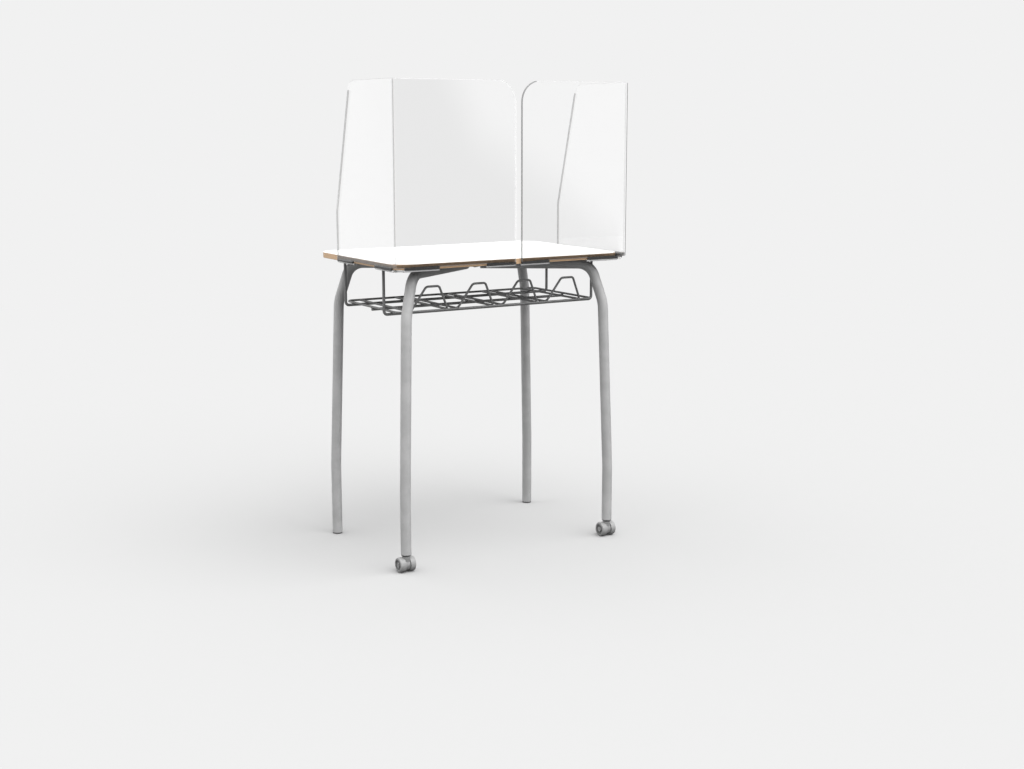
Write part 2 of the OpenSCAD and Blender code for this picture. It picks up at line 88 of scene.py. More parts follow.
class Nodes:
    """Short ways to add and join the nodes of one tree."""

    def __init__(self, tree):
        self.tree = tree
        tree.nodes.clear()

    def add(self, kind, inputs=(), **settings):
        node = self.tree.nodes.new(kind)
        for key, value in settings.items():
            setattr(node, key, value)
        for key, value in dict(inputs).items():
            if hasattr(value, "links"):
                self.tree.links.new(value, node.inputs[key])
            else:
                node.inputs[key].default_value = value
        return node

    def math(self, operation, a, b=0.0, c=0.0, clamp=False):
        return self.add("ShaderNodeMath", {0: a, 1: b, 2: c}, operation=operation,
                        use_clamp=clamp).outputs[0]

    def span(self, value, low, high, to_low=0.0, to_high=1.0, smooth=True):
        return self.add("ShaderNodeMapRange",
                        {"Value": value, "From Min": low, "From Max": high,
                         "To Min": to_low, "To Max": to_high},
                        interpolation_type="SMOOTHSTEP" if smooth else "LINEAR").outputs[0]

    def noise(self, vector, scale, detail=2.0, roughness=0.5):
        return self.add("ShaderNodeTexNoise",
                        {"Vector": vector, "Scale": scale, "Detail": detail,
                         "Roughness": roughness}).outputs[0]

    def stretched(self, vector, scale):
        return self.add("ShaderNodeMapping", {"Vector": vector, "Scale": scale}).outputs[0]

    def blend(self, factor, a, b):
        node = self.add("ShaderNodeMix", data_type="RGBA")
        for key, value in ((0, factor), (6, a), (7, b)):
            if hasattr(value, "links"):
                self.tree.links.new(value, node.inputs[key])
            else:
                node.inputs[key].default_value = value
        return node.outputs[2]

    def bump(self, height, distance, strength=1.0, normal=None):
        inputs = {"Height": height, "Distance": distance, "Strength": strength}
        if normal is not None:
            inputs["Normal"] = normal
        return self.add("ShaderNodeBump", inputs).outputs[0]

    def mix_shader(self, factor, a, b):
        return self.add("ShaderNodeMixShader", {0: factor, 1: a, 2: b}).outputs[0]


def grey(v):
    return (v, v, v, 1.0)


def make_world():
    world = bpy.data.worlds.new("studio")
    bpy.context.scene.world = world
    world.use_nodes = True
    n = Nodes(world.node_tree)
    direction = n.add("ShaderNodeTexCoord").outputs["Generated"]

    def toward(v):
        v = Vector(v).normalized()
        return n.add("ShaderNodeVectorMath", {0: direction, 1: tuple(v)},
                     operation="DOT_PRODUCT").outputs["Value"]

    def disc(centre, inner, outer):
        """1 within inner degrees of centre, 0 beyond outer degrees."""
        return n.span(toward(centre), math.cos(math.radians(outer)),
                      math.cos(math.radians(inner)))

    sky = n.span(toward((0, 0, 1)), *SKY_SPAN, WORLD_LOW, WORLD_HIGH)
    plain = n.math("ADD", sky, n.span(toward(SIDE_LIGHT), *SIDE_SPAN, 0.0, SIDE_GAIN))
    spot = n.math("MULTIPLY", disc(SPOT_AT, *SPOT_DEGREES), SPOT_GAIN)
    card = n.math("MULTIPLY", n.span(toward(CARD_EDGE), *CARD_EDGE_SPAN),
                  disc(CARD_AT, *CARD_DEGREES))
    level = n.math("ADD", n.math("ADD", sky, spot), n.math("MULTIPLY", card, CARD_GAIN))
    path = n.add("ShaderNodeLightPath").outputs
    level = n.blend(path["Is Diffuse Ray"], level, plain)
    strength = n.blend(path["Is Camera Ray"], level, grey(BACKGROUND))
    shader = n.add("ShaderNodeBackground", {"Color": strength, "Strength": 1.0})
    n.add("ShaderNodeOutputWorld", {"Surface": shader.outputs[0]})


WORLD_LOW, WORLD_HIGH = 0.29, 1.70        # light level at the horizon and overhead
SKY_SPAN = (0.25, 0.95)                   # heights in the sky between which it changes
SPOT_AT, SPOT_DEGREES = (0.44, -0.90, -0.02), (13, 30)
SPOT_GAIN = 1.05                          # soft spot that shows in the screens
CARD_AT, CARD_DEGREES = (-0.54, 0.84, 0.0), (16, 36)
CARD_EDGE = (-0.4736, -0.2698, 0.8384)    # the big card's slanted edge shows in the screens
CARD_EDGE_SPAN = (-0.024, 0.026)
CARD_GAIN = 1.15
SIDE_LIGHT = (0.90, -0.30, 0.05)          # a wide soft light beside the carrel
SIDE_SPAN = (0.1, 0.9)
SIDE_GAIN = 1.10
make_world()

SUN_LEAN = (0.32, -0.76, -1.0)
SUN_POWER = 3.25
SUN_DEGREES = 70                          # a very wide sun, so the shadow is soft
sun_data = bpy.data.lights.new("overhead", "SUN")
sun_data.energy = SUN_POWER
sun_data.angle = math.radians(SUN_DEGREES)
sun = bpy.data.objects.new("overhead", sun_data)
sun.rotation_mode = "QUATERNION"
sun.rotation_quaternion = Vector(SUN_LEAN).to_track_quat("-Z", "Y")
bpy.context.collection.objects.link(sun)

FLOOR_R = 9.0
FLOOR_ALBEDO = 0.400
FLOOR_BOUNCE = 0.12                       # what the floor throws back on the carrel
FLOOR_RINGS = [0.6, 1.5, 3.0, 6.0, FLOOR_R]
FLOOR_FADE = (2.5, 7.5)                   # distances between which it melts into the background


def make_floor():
    bm = bmesh.new()
    spokes = 64
    centre = bm.verts.new((0, 0, 0))
    loops = []
    for r in FLOOR_RINGS:
        loops.append([bm.verts.new((r * math.cos(math.tau * k / spokes),
                                    r * math.sin(math.tau * k / spokes), 0))
                      for k in range(spokes)])
    for k in range(spokes):
        j = (k + 1) % spokes
        bm.faces.new((centre, loops[0][k], loops[0][j]))
        for a, b in zip(loops, loops[1:]):
            bm.faces.new((a[k], b[k], b[j], a[j]))
    mesh = bpy.data.meshes.new("floor")
    bm.to_mesh(mesh)
    bm.free()
    floor = bpy.data.objects.new("floor", mesh)
    bpy.context.collection.objects.link(floor)
    floor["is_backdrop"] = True
    material = bpy.data.materials.new("floor")
    material.use_nodes = True
    n = Nodes(material.node_tree)
    position = n.add("ShaderNodeTexCoord").outputs["Object"]
    reach = n.add("ShaderNodeVectorMath", {0: position}, operation="LENGTH").outputs["Value"]
    seen = n.add("ShaderNodeLightPath").outputs["Is Camera Ray"]
    tone = n.blend(seen, grey(FLOOR_BOUNCE), grey(FLOOR_ALBEDO))
    light = n.blend(seen, grey(WORLD_LOW), grey(BACKGROUND))
    near = n.add("ShaderNodeBsdfDiffuse", {"Color": tone})
    far = n.add("ShaderNodeEmission", {"Color": light})
    shader = n.mix_shader(n.span(reach, *FLOOR_FADE), near.outputs[0], far.outputs[0])
    n.add("ShaderNodeOutputMaterial", {"Surface": shader})
    mesh.materials.append(material)


make_floor()

# ---------------------------------------------------------------- materials


def start(name):
    material = bpy.data.materials.new(name)
    material.use_nodes = True
    n = Nodes(material.node_tree)
    place = n.add("ShaderNodeTexCoord").outputs["Object"]
    return material, n, place


def finish(n, **inputs):
    shader = n.add("ShaderNodeBsdfPrincipled", {k.replace("_", " "): v for k, v in inputs.items()})
    n.add("ShaderNodeOutputMaterial", {"Surface": shader.outputs[0]})
    return shader


def powder_coat(name, colour, light, rough, scuff_top=0.0):
    """Baked powder paint: orange peel, a fine fleck, soft cloudy variation and scuffs low down."""
    m, n, at = start(name)
    cloud = n.noise(at, 14, 3, 0.6)
    fleck = n.noise(at, 2600, 1)
    tone = n.blend(n.span(cloud, 0.35, 0.65), colour, light)
    tone = n.blend(n.span(fleck, 0.60, 0.75, 0, 0.25), tone, grey(min(1, light[0] * 1.25)))
    rub = n.span(n.noise(n.stretched(at, (1, 1, 0.35)), 70, 4, 0.7), 0.60, 0.70, 0, 0.5)
    height = n.add("ShaderNodeSeparateXYZ", {0: at}).outputs[2]
    low = n.span(height, 0.02, max(scuff_top, 0.021), 1.0, 0.0)
    mark = n.math("MULTIPLY", rub, low)
    tone = n.blend(mark, tone, grey(colour[0] * 0.55))
    roughness = n.math("ADD", n.span(n.noise(at, 90, 3), 0.3, 0.7, rough - 0.05, rough + 0.06),
                       n.math("MULTIPLY", mark, 0.2))
    peel = n.bump(n.noise(at, 700, 2), 0.00012, 0.5)
    grain = n.bump(n.noise(at, 3200, 1), 0.00003, 0.4, peel)
    finish(n, Base_Color=tone, Roughness=roughness, Normal=grain, Specular_IOR_Level=0.45)
    return m


def moulded(name, colour, rough, speck=0.06, texture=1500):
    """Moulded plastic: fine spark texture, faint flow marks and dust."""
    m, n, at = start(name)
    flow = n.noise(n.stretched(at, (60, 60, 160)), 1, 4, 0.6)
    dust = n.span(n.noise(at, 260, 5, 0.7), 0.52, 0.72, 0, 0.35)
    tone = n.blend(n.span(flow, 0.35, 0.7), grey(colour * (1 - speck)), grey(colour * (1 + speck)))
    tone = n.blend(dust, tone, grey(min(1.0, colour * 1.25 + 0.02)))
    roughness = n.span(n.noise(at, 400, 3), 0.3, 0.7, rough - 0.07, rough + 0.09)
    spark = n.bump(n.noise(at, texture, 2), 0.00005, 0.5)
    finish(n, Base_Color=tone, Roughness=roughness, Normal=spark)
    return m


def steel(name, tone_low, tone_high, rough):
    """Zinc-plated steel: crystal mottling and turned lines."""
    m, n, at = start(name)
    spangle = n.add("ShaderNodeTexVoronoi", {"Vector": at, "Scale": 900.0}).outputs["Distance"]
    lines = n.noise(n.stretched(at, (300, 300, 5200)), 1, 2)
    tone = n.blend(n.span(spangle, 0.1, 0.7), grey(tone_low), grey(tone_high))
    roughness = n.span(lines, 0.3, 0.7, rough - 0.08, rough + 0.1)
    finish(n, Base_Color=tone, Metallic=1.0, Roughness=roughness,
           Normal=n.bump(lines, 0.00004, 0.4))
    return m


def laminate():
    """Matt white laminate with a pearl texture, faint wipe marks and a few grey specks."""
    m, n, at = start("white_laminate")
    pearl = n.noise(at, 1300, 2)
    wipe = n.noise(n.stretched(at, (3, 14, 3)), 1, 5, 0.6)
    speck = n.span(n.noise(at, 900, 0), 0.74, 0.80, 0, 0.25)
    tone = n.blend(n.span(wipe, 0.3, 0.7), (0.86, 0.86, 0.855, 1), (0.90, 0.90, 0.895, 1))
    tone = n.blend(speck, tone, grey(0.62))
    roughness = n.span(wipe, 0.3, 0.75, 0.36, 0.50)
    finish(n, Base_Color=tone, Roughness=roughness, Normal=n.bump(pearl, 0.00005, 0.45))
    return m


def kraft():
    """Paper-resin backer with a fine crossed-fibre grain: its own brown, darkened to near black as
    painted shade of the shaded underside.
    """
    m, n, at = start("backer")
    fibre = n.noise(n.stretched(at, (18, 420, 60)), 1, 4, 0.6)
    blotch = n.noise(at, 22, 3)
    # near-black browns: the backer's brown darkened as painted shade
    tone = n.blend(n.span(fibre, 0.3, 0.7), (0.030, 0.022, 0.016, 1), (0.062, 0.046, 0.034, 1))
    tone = n.blend(n.span(blotch, 0.4, 0.7, 0, 0.4), tone, (0.075, 0.060, 0.047, 1))
    finish(n, Base_Color=tone, Roughness=n.span(blotch, 0.3, 0.7, 0.45, 0.62),
           Normal=n.bump(fibre, 0.00006, 0.4))
    return m


def plywood(low_z, high_z, plies):
    """Birch plywood edge: plies by height, long grain and end grain in turn, thin glue lines."""
    m, n, at = start("plywood")
    x, y, z = n.add("ShaderNodeSeparateXYZ", {0: at}).outputs
    ply = n.math("MULTIPLY", n.math("SUBTRACT", z, low_z), plies / (high_z - low_z))
    wander = n.span(n.noise(n.stretched(at, (9, 9, 9)), 1, 2), 0.3, 0.7, -0.10, 0.10, False)
    ply = n.math("ADD", ply, wander)
    number = n.math("FLOOR", ply)
    part = n.math("FRACT", ply)
    odd = n.math("FRACT", n.math("MULTIPLY", number, 0.5))
    cross = n.span(odd, 0.2, 0.3)
    shade = n.add("ShaderNodeTexWhiteNoise", {"W": number},
                  noise_dimensions="1D").outputs["Value"]
    long_grain = n.noise(n.stretched(at, (22, 22, 2600)), 1, 5, 0.6)
    end_grain = n.noise(at, 1500, 3, 0.6)
    face = n.blend(n.span(long_grain, 0.35, 0.68), (0.60, 0.40, 0.235, 1), (0.74, 0.53, 0.34, 1))
    end = n.blend(n.span(end_grain, 0.35, 0.65), (0.40, 0.235, 0.120, 1), (0.56, 0.36, 0.205, 1))
    tone = n.blend(cross, face, end)
    tone = n.blend(n.math("MULTIPLY", shade, 0.25), tone, (0.50, 0.33, 0.19, 1))
    glue = n.math("ADD", n.span(part, 0.0, 0.10, 1, 0), n.span(part, 0.90, 1.0, 0, 1), clamp=True)
    tone = n.blend(n.math("MULTIPLY", glue, 0.55), tone, (0.20, 0.11, 0.055, 1))
    relief = n.math("ADD", n.math("MULTIPLY", cross, 0.5), n.math("MULTIPLY", end_grain, 0.5))
    finish(n, Base_Color=tone, Roughness=n.span(long_grain, 0.3, 0.7, 0.42, 0.58),
           Normal=n.bump(relief, 0.00010, 0.5), Coat_Weight=0.15, Coat_Roughness=0.25)
    return m


def symmetric_fresnel(n, base):
    """Gloss that grows at a glancing angle, the same from both sides of a face."""
    facing = n.add("ShaderNodeLayerWeight", {"Blend": 0.5}).outputs["Facing"]
    return n.math("MULTIPLY_ADD", n.math("POWER", facing, 5.0), 1 - base, base)


# see-through colour where a sheet wraps the top's edge: painted shade
STRIP_PAINTED_SHADE = 0.60


def clear_sheet(name, solid=0.0, tone=1.0, tint=0.988, painted_glow=0.0, strip=None):
    """Clear sheet with smudges and hair scratches in its gloss. solid is the share of it painted as
    a
    surface of that tone: painted highlight or painted shade standing in for the light and shade
    seen in the border of a cut sheet, and the emission set for it is painted light, though it is no
    lamp.
    strip is the span of height where it wraps the edge of the top, and how far along x and y that
    goes before the sheet's own corner; there the see-through colour is darkened as painted shade."""
    m, n, at = start(name)
    x, y, height = n.add("ShaderNodeSeparateXYZ", {0: at}).outputs
    smudge = n.noise(n.stretched(at, (7, 7, 4)), 1, 6, 0.62)
    hair = n.noise(n.stretched(at, (900, 900, 30)), 1, 2)
    rough = n.math("ADD", n.span(smudge, 0.45, 0.75, 0.004, 0.04),
                   n.span(hair, 0.70, 0.78, 0, 0.03))
    wave = n.bump(n.noise(at, 2.0, 1), 0.002, 0.02)
    passed = grey(tint)
    if strip:
        low, high, corner_x, corner_y = strip
        painted_shade_band = n.math("MULTIPLY", n.span(height, high - 1.5 * MM, high, 1, 0),
                      n.span(height, low - 1 * MM, low))
        aside = n.math("ABSOLUTE", x)
        beside = n.math("MAXIMUM", n.span(aside, corner_x, corner_x + 10 * MM, 1, 0),
                        n.span(y, corner_y, corner_y + 10 * MM, 1, 0))
        painted_shade_band = n.math("MULTIPLY", painted_shade_band, beside)
        passed = n.blend(painted_shade_band, grey(tint), grey(STRIP_PAINTED_SHADE))
    shader = n.add("ShaderNodeBsdfTransparent", {"Color": passed}).outputs[0]
    # the solid share: a painted surface of that tone, painted highlight or painted shade, whose
    # emission is painted light
    if solid:
        saw = n.noise(n.stretched(at, (500, 500, 900)), 1, 3)
        body = n.blend(n.span(saw, 0.3, 0.7), grey(tone * 0.90), grey(min(1, tone * 1.06)))
        skin = n.add("ShaderNodeBsdfPrincipled",
                     {"Base Color": body, "Roughness": n.span(saw, 0.3, 0.7, 0.15, 0.30),
                      "Emission Color": body, "Emission Strength": painted_glow})
        shader = n.mix_shader(solid, shader, skin.outputs[0])
    gloss = n.add("ShaderNodeBsdfGlossy", {"Color": grey(1), "Roughness": rough, "Normal": wave})
    shader = n.mix_shader(symmetric_fresnel(n, 0.042), shader, gloss.outputs[0])
    n.add("ShaderNodeOutputMaterial", {"Surface": shader})
    return m


# ---------------------------------------------------------------- shapes


def bent(points, radii, per_quarter=12):
    """Points along a path whose inner corners are rounded, each to its own radius."""
    points = [Vector(p) for p in points]
    out = [points[0]]
    for i in range(1, len(points) - 1):
        a = (points[i] - points[i - 1]).normalized()
        b = (points[i + 1] - points[i]).normalized()
        angle, r = a.angle(b), radii[i - 1]
        if r == 0:
            out.append(points[i])
            continue
        begin = points[i] - a * r * math.tan(angle / 2)
        side = (b - a * a.dot(b)).normalized()
        centre = begin + side * r
        steps = max(3, math.ceil(angle / (math.pi / 2) * per_quarter))
        for k in range(steps + 1):
            turn = angle * k / steps
            out.append(centre - side * r * math.cos(turn) + a * r * math.sin(turn))
    out.append(points[-1])
    return out


def rounded(points, radii, per_quarter=12):
    """Closed 2-D outline with rounded corners, as a list of (a, b)."""
    flat = [Vector((p[0], p[1], 0)) for p in points]
    out = []
    for i, r in enumerate(radii):
        before, here, after = flat[i - 1], flat[i], flat[(i + 1) % len(flat)]
        corner = bent([before, here, after], [r], per_quarter)[1:-1] if r else [here]
        out += [(p.x, p.y) for p in corner]
    return out


def even(path, step):
    """The path with points added so that no two are further apart than step."""
    out = [path[0]]
    for a, b in zip(path, path[1:]):
        count = max(1, math.ceil((b - a).length / step))
        out += [a.lerp(b, k / count) for k in range(1, count + 1)]
    return out


def sweep(bm, path, radius, seg=24, closed=False, up=None, chamfer=0.0):
    """Round bar of that radius along path. radius may be a function of the point's number."""
    count = len(path)
    loops, u = [], None
    for i, p in enumerate(path):
        before = path[i - 1] if i or closed else p
        after = path[(i + 1) % count] if i < count - 1 or closed else p
        t = Vector((0, 0, 0))
        for d in (p - before, after - p):
            if d.length > 0:
                t += d.normalized()
        t.normalize()
        if u is None:
            u = Vector(up) if up else t.orthogonal()
        u = (u - t * u.dot(t)).normalized()
        v = t.cross(u)
        r = radius(i) if callable(radius) else radius
        sizes = [(p, r)]
        if not closed and chamfer and i == 0:
            sizes = [(p, r - chamfer), (p + t * chamfer, r)]
        if not closed and chamfer and i == count - 1:
            sizes = [(p - t * chamfer, r), (p, r - chamfer)]
        for q, s in sizes:
            loops.append([bm.verts.new(q + (u * math.cos(math.tau * k / seg)
                                            + v * math.sin(math.tau * k / seg)) * s)
                          for k in range(seg)])
    pairs = list(zip(loops, loops[1:])) + ([(loops[-1], loops[0])] if closed else [])
    for a, b in pairs:
        for k in range(seg):
            j = (k + 1) % seg
            bm.faces.new((a[k], a[j], b[j], b[k]))
    if not closed:
        bm.faces.new(loops[0][::-1])
        bm.faces.new(loops[-1])
    return loops


def lathe(bm, profile, origin, axis, seg=48, closed=False):
    """Turns (radius, height) pairs about an axis through origin."""
    w = Vector(axis).normalized()
    u = w.orthogonal().normalized()
    v = w.cross(u)
    loops = []
    for r, h in profile:
        if r < 1e-7:
            loops.append([bm.verts.new(origin + w * h)])
        else:
            loops.append([bm.verts.new(origin + w * h + (u * math.cos(math.tau * k / seg)
                                                         + v * math.sin(math.tau * k / seg)) * r)
                          for k in range(seg)])
    pairs = list(zip(loops, loops[1:])) + ([(loops[-1], loops[0])] if closed else [])
    for a, b in pairs:
        for k in range(seg):
            j = (k + 1) % seg
            if len(a) == 1 and len(b) == 1:
                continue
            if len(a) == 1:
                bm.faces.new((a[0], b[j], b[k]))
            elif len(b) == 1:
                bm.faces.new((a[k], a[j], b[0]))
            else:
                bm.faces.new((a[k], a[j], b[j], b[k]))


def slab(bm, outline, low, high, place=None, arris=0.0, steps=3):
    """Flat plate from a convex outline, its two edges rounded over by arris."""
    place = place or Matrix.Identity(4)
    count = len(outline)
    normals = []
    for i in range(count):
        a, b = Vector(outline[i - 1]), Vector(outline[(i + 1) % count])
        t = (b - a).normalized()
        normals.append(Vector((t.y, -t.x)))
    levels = [(arris, low)] if arris else [(0, low)]
    if arris:
        for k in range(1, steps + 1):
            turn = math.pi / 2 * k / steps
            levels.append((arris * (1 - math.sin(turn)), low + arris * (1 - math.cos(turn))))
        for k in range(steps + 1):
            turn = math.pi / 2 * k / steps
            levels.append((arris * (1 - math.cos(turn)), high - arris * (1 - math.sin(turn))))
    else:
        levels.append((0, high))
    loops = []
    for inset, z in levels:
        loop = []
        for p, nrm in zip(outline, normals):
            q = Vector(p) - nrm * inset
            loop.append(bm.verts.new(place @ Vector((q.x, q.y, z))))
        loops.append(loop)
    for a, b in zip(loops, loops[1:]):
        for k in range(count):
            j = (k + 1) % count
            bm.faces.new((a[k], a[j], b[j], b[k]))
    bm.faces.new(loops[0][::-1])
    bm.faces.new(loops[-1])


def piece(name, bm, body, slot, materials, *nodes, sharp=35):
    """Turns a mesh in the making into a shown piece that rides on body in place of CAD nodes."""
    bmesh.ops.recalc_face_normals(bm, faces=bm.faces)
    mesh = bpy.data.meshes.new(name)
    bm.to_mesh(mesh)
    bm.free()
    mesh.polygons.foreach_set("use_smooth", [True] * len(mesh.polygons))
    mesh.set_sharp_from_angle(angle=math.radians(sharp))
    for m in materials:
        mesh.materials.append(m)
    made = bpy.data.objects.new(name, mesh)
    bpy.context.collection.objects.link(made)
    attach(made, body)
    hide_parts(*nodes)
    return made


def settled(bm, modifiers):
    """The mesh in the making after Blender modifiers, as a new one in the making."""
    mesh = bpy.data.meshes.new("working")
    bm.to_mesh(mesh)
    bm.free()
    temp = bpy.data.objects.new("working", mesh)
    bpy.context.collection.objects.link(temp)
    for kind, settings in modifiers:
        modifier = temp.modifiers.new(kind, kind)
        for key, value in settings.items():
            setattr(modifier, key, value)
    bpy.context.view_layer.update()
    shown = temp.evaluated_get(bpy.context.evaluated_depsgraph_get())
    result = bmesh.new()
    result.from_mesh(shown.to_mesh())
    shown.to_mesh_clear()
    bpy.data.objects.remove(temp)
    bpy.data.meshes.remove(mesh)
    return result


def copy_into(bm, source, matrix):
    """Adds a copy of another mesh in the making, moved by matrix."""
    made = {v: bm.verts.new(matrix @ v.co) for v in source.verts}
    for f in source.faces:
        bm.faces.new([made[v] for v in f.verts])


# ---------------------------------------------------------------- sizes, from the CAD boxes

laminate_low, laminate_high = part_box("top_laminate")
core_low, core_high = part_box("top_core")
backer_low, backer_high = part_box("top_backer")
screen_low, screen_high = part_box("screen_right")
TOP_X, TOP_BACK, TOP_FRONT = laminate_high.x, laminate_high.y, laminate_low.y
TOP_Z, UNDER_Z = laminate_high.z, backer_low.z
TOP_CORNER = 70 * MM
LEFT, RIGHT, FRONT, BACK = -1, 1, -1, 1
SIDES = ((LEFT, "left"), (RIGHT, "right"))
ENDS = ((FRONT, "front"), (BACK, "back"))

white = laminate()
ply = plywood(core_low.z, core_high.z, 13)
brown = kraft()
paint = powder_coat("grey_paint", grey(0.365), grey(0.42), 0.46, 0.30)
wire = powder_coat("wire_coating", grey(0.165), grey(0.195), 0.36)
zinc = steel("bare_steel", 0.55, 0.72, 0.30)
cap_zinc = steel("cap_steel", 0.62, 0.78, 0.42)
dark_plastic = moulded("dark_plastic", 0.11, 0.50)
body_plastic = moulded("caster_plastic", 0.24, 0.45)
wheel_plastic = moulded("wheel_plastic", 0.27, 0.52, 0.04, 1100)
# darker plastic for the wheels' sunk rings: painted shade in the recess
ring_shade_plastic = moulded("wheel_ring_shade", 0.16, 0.55, 0.04, 1100)

# ---------------------------------------------------------------- top


def top_outline():
    a, b, c = TOP_X, TOP_FRONT, TOP_BACK
    return rounded([(-a, b), (a, b), (a, c), (-a, c)], [TOP_CORNER] * 4, 20)


for name, slot, skin, low, high, arris, node in (
        ("work_surface_laminate", "white_laminate", white, laminate_low.z, laminate_high.z,
         0.35 * MM, "top_laminate"),
        ("plywood_core", "plywood", ply, core_low.z, core_high.z, 0, "top_core"),
        ("underside_backer", "backer", brown, backer_low.z, backer_high.z, 0.3 * MM,
         "top_backer")):
    bm = bmesh.new()
    slab(bm, top_outline(), low, high, arris=arris)
    piece(name, bm, "carrel", slot, [skin], node)

# ---------------------------------------------------------------- screens

SHEET = 6 * MM
MID_R = 5 * MM                            # bend radius of the middle of the sheet
BEND_X = 440 * MM
BEND_Y = 298 * MM
SHEET_LOW = TOP_Z - 12 * MM
LEAF_Z = UNDER_Z - SHEET / 2
SCREEN_TOP = screen_high.z
PANEL_R = 70 * MM
WING_FRONT = -120 * MM
WING_TOP_FRONT = -6 * MM
WING_KINK_Z = TOP_Z + 148 * MM
WING_R = 42 * MM
WING_KINK_R = 60 * MM
FREE = {RIGHT: 0.0, LEFT: 21.5 * MM}
CORNER_TABS = (287 * MM, 412 * MM)
FREE_TAB = 110 * MM
WING_TABS = ((161 * MM, 281 * MM), (-120 * MM, -2 * MM))
LEAF_IN = 260 * MM                        # inner end of the back panels' leaves


def screen_sheet(side):
    """Middle surface of one screen, drawn for the reader's right."""
    bm = bmesh.new()
    free = FREE[side]
    tabs = [(free, free + FREE_TAB), CORNER_TABS]
    wall_y, wall_x = BEND_Y + MID_R, BEND_X + MID_R

    def face(points):
        bm.faces.new([bm.verts.new(p) for p in points])

    foot = sorted({free, BEND_X, *(x for t in tabs for x in t)})
    corner = bent([(BEND_X, 0, SCREEN_TOP), (free, 0, SCREEN_TOP), (free, 0, SHEET_LOW)],
                  [PANEL_R], 16)[1:-1]
    panel = [(x, SHEET_LOW) for x in foot] + [(BEND_X, SCREEN_TOP)] + [(p.x, p.z) for p in corner]
    face([(x, wall_y, z) for x, z in panel])
    foot = sorted({BEND_Y, *(y for t in WING_TABS for y in t)}, reverse=True)
    front = bent([(0, WING_FRONT, SHEET_LOW), (0, WING_FRONT, WING_KINK_Z),
                  (0, WING_TOP_FRONT, SCREEN_TOP), (0, BEND_Y, SCREEN_TOP)],
                 [WING_KINK_R, WING_R], 16)[1:-1]
    wing = [(y, SHEET_LOW) for y in foot] + [(p.y, p.z) for p in front] + [(BEND_Y, SCREEN_TOP)]
    face([(wall_x, y, z) for y, z in wing])
    steps = 8
    arc = [(math.sin(math.pi / 2 * k / steps) * MID_R, math.cos(math.pi / 2 * k / steps) * MID_R)
           for k in range(steps + 1)]
    for (x0, y0), (x1, y1) in zip(arc, arc[1:]):
        face([(BEND_X + x0, BEND_Y + y0, SHEET_LOW), (BEND_X + x1, BEND_Y + y1, SHEET_LOW),
              (BEND_X + x1, BEND_Y + y1, SCREEN_TOP), (BEND_X + x0, BEND_Y + y0, SCREEN_TOP)])
    bend_z = LEAF_Z + MID_R
    drop = [(MID_R, SHEET_LOW), (MID_R, bend_z)]
    drop += [(c, bend_z - s) for s, c in arc[1:]]
    drop.append((LEAF_IN - BEND_Y, LEAF_Z))
    for (o0, z0), (o1, z1) in zip(drop, drop[1:]):
        for a, b in tabs:
            face([(a, BEND_Y + o0, z0), (b, BEND_Y + o0, z0),
                  (b, BEND_Y + o1, z1), (a, BEND_Y + o1, z1)])
        for a, b in WING_TABS:
            face([(BEND_X + o0, a, z0), (BEND_X + o0, b, z0),
                  (BEND_X + o1, b, z1), (BEND_X + o1, a, z1)])
    bmesh.ops.remove_doubles(bm, verts=bm.verts, dist=1e-6)
    bmesh.ops.recalc_face_normals(bm, faces=bm.faces)
    return bm


STRIP = (SHEET_LOW, TOP_Z, TOP_X - 4 * MM, TOP_BACK - 4 * MM)
clear = clear_sheet("clear_sheet", strip=STRIP)
# The sheets' edge bands are painted light: soft painted highlights, painted highlights that give
# off painted light, and painted shade lines, on the faces and on the cut rims.
border_soft_highlight = clear_sheet("clear_border_soft", 0.06, 0.90, painted_glow=0.20, strip=STRIP)
border_highlight = clear_sheet("clear_border_bright", 0.18, 1.0, painted_glow=0.26, strip=STRIP)
edge_shade_line = clear_sheet("clear_border_edge", 0.50, 0.12, strip=STRIP)
border_shade = clear_sheet("clear_border_dark", 0.70, 0.16, strip=STRIP)
rim_half_shade = clear_sheet("clear_rim_soft", 0.35, 0.60)
rim_highlight = clear_sheet("clear_rim_bright", 0.35, 0.98, painted_glow=0.22)
rim_shade = clear_sheet("clear_rim_dark", 0.85, 0.20)
bend_shade = clear_sheet("clear_bend_dark", 0.45, 0.25, strip=STRIP)
bend_deep_shade = clear_sheet("clear_bend_deep", 0.80, 0.14, strip=STRIP)
tab_shade = clear_sheet("clear_tab_dark", 0.88, 0.025)
tab_highlight = clear_sheet("clear_tab_bright", 0.70, 0.95, painted_glow=0.12)
# BORDER is the width of the painted edge bands; SOFT, DARK, BRIGHT and WING pick a soft painted
# highlight, painted shade, a painted highlight and the wing's painted shade line
BORDER = 3 * MM
SOFT, DARK, BRIGHT, WING = 1, 2, 3, 4
BEND_SIDE, TAB_DROP, TAB_BEND = 10, 11, 12
BEND_MID = {RIGHT: 9, LEFT: 13}
BEND_DARK = {RIGHT: 12, LEFT: 38}          # half the painted-shade part of each bend, in degrees
screen_materials = [clear, border_soft_highlight, border_shade, border_highlight, edge_shade_line,
                    rim_half_shade, rim_shade, rim_highlight, rim_shade, bend_shade, border_soft_highlight,
                    tab_shade, tab_highlight, bend_deep_shade, rim_half_shade]


def tab_index(z):
    """Material of a tab by height: a painted-shade drop, then a painted highlight line round its
    bend.
    """
    if z > LEAF_Z + MID_R * 0.55:
        return TAB_DROP
    return TAB_BEND if z > LEAF_Z + MID_R * 0.02 else 0


